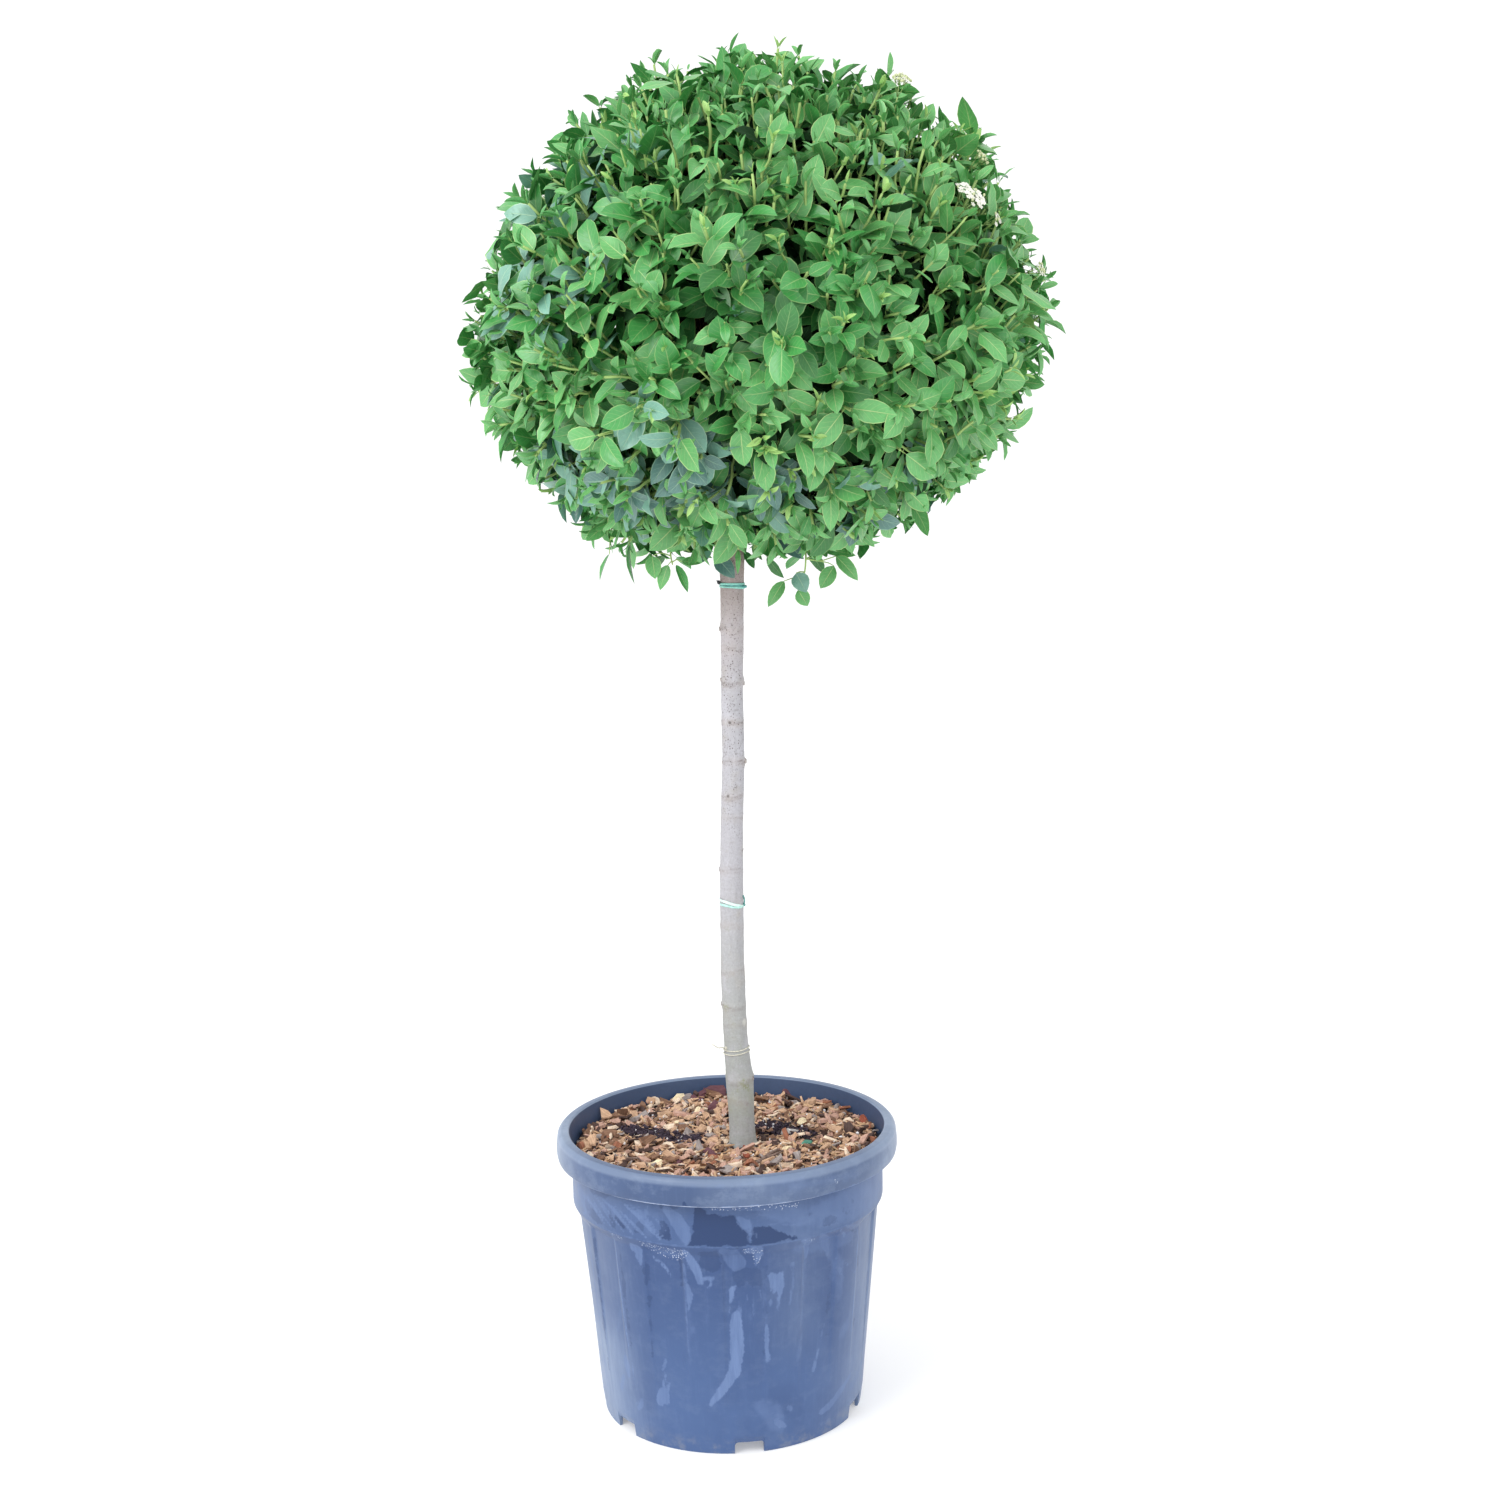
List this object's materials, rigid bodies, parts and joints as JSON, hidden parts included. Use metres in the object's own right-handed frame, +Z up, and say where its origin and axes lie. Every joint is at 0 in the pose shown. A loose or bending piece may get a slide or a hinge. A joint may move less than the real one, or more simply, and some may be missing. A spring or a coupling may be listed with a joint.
{
  "type": "standard laurustinus topiary in a nursery container",
  "caption": "Evergreen shrub trained as a standard: a clipped ball of foliage on a clear stem, with forking boughs, growing in a round ribbed nursery container topped with bark mulch.",
  "frame": {"origin": "centre of the flat pad under the container, on the surface that the container stands on", "axes": "+Z up along the container's axis, +X to the right of the plant as shown, -Y towards the side it is shown from"},
  "size_m": [0.6686, 0.6476, 1.5476],
  "materials": {
    "container_plastic": "scuffed slate-blue moulded plastic",
    "mulch": "loose chipped bark over dark potting mix",
    "bark": "smooth pale grey bark with fine pores and ring scars",
    "young_wood": "brown twig bark",
    "foliage": "semi-glossy evergreen leaves with paler midribs",
    "tie_tape": "aqua plastic tying tape",
    "tie_string": "pale twisted string"
  },
  "bodies": {
    "root": {"pot": "container_plastic", "mulch": "mulch", "trunk": "bark", "crown_foliage": "foliage", "hanging_spray_right": "foliage", "hanging_spray_left": "foliage", "tie_upper": "tie_tape", "tie_middle": "tie_tape", "tie_lower": "tie_string", "bough_front_left": "young_wood", "bough_front_right": "young_wood", "bough_right": "young_wood", "bough_back_right": "young_wood", "bough_back_left": "young_wood", "bough_left": "young_wood", "bough_leader": "young_wood"}
  },
  "joints": []
}
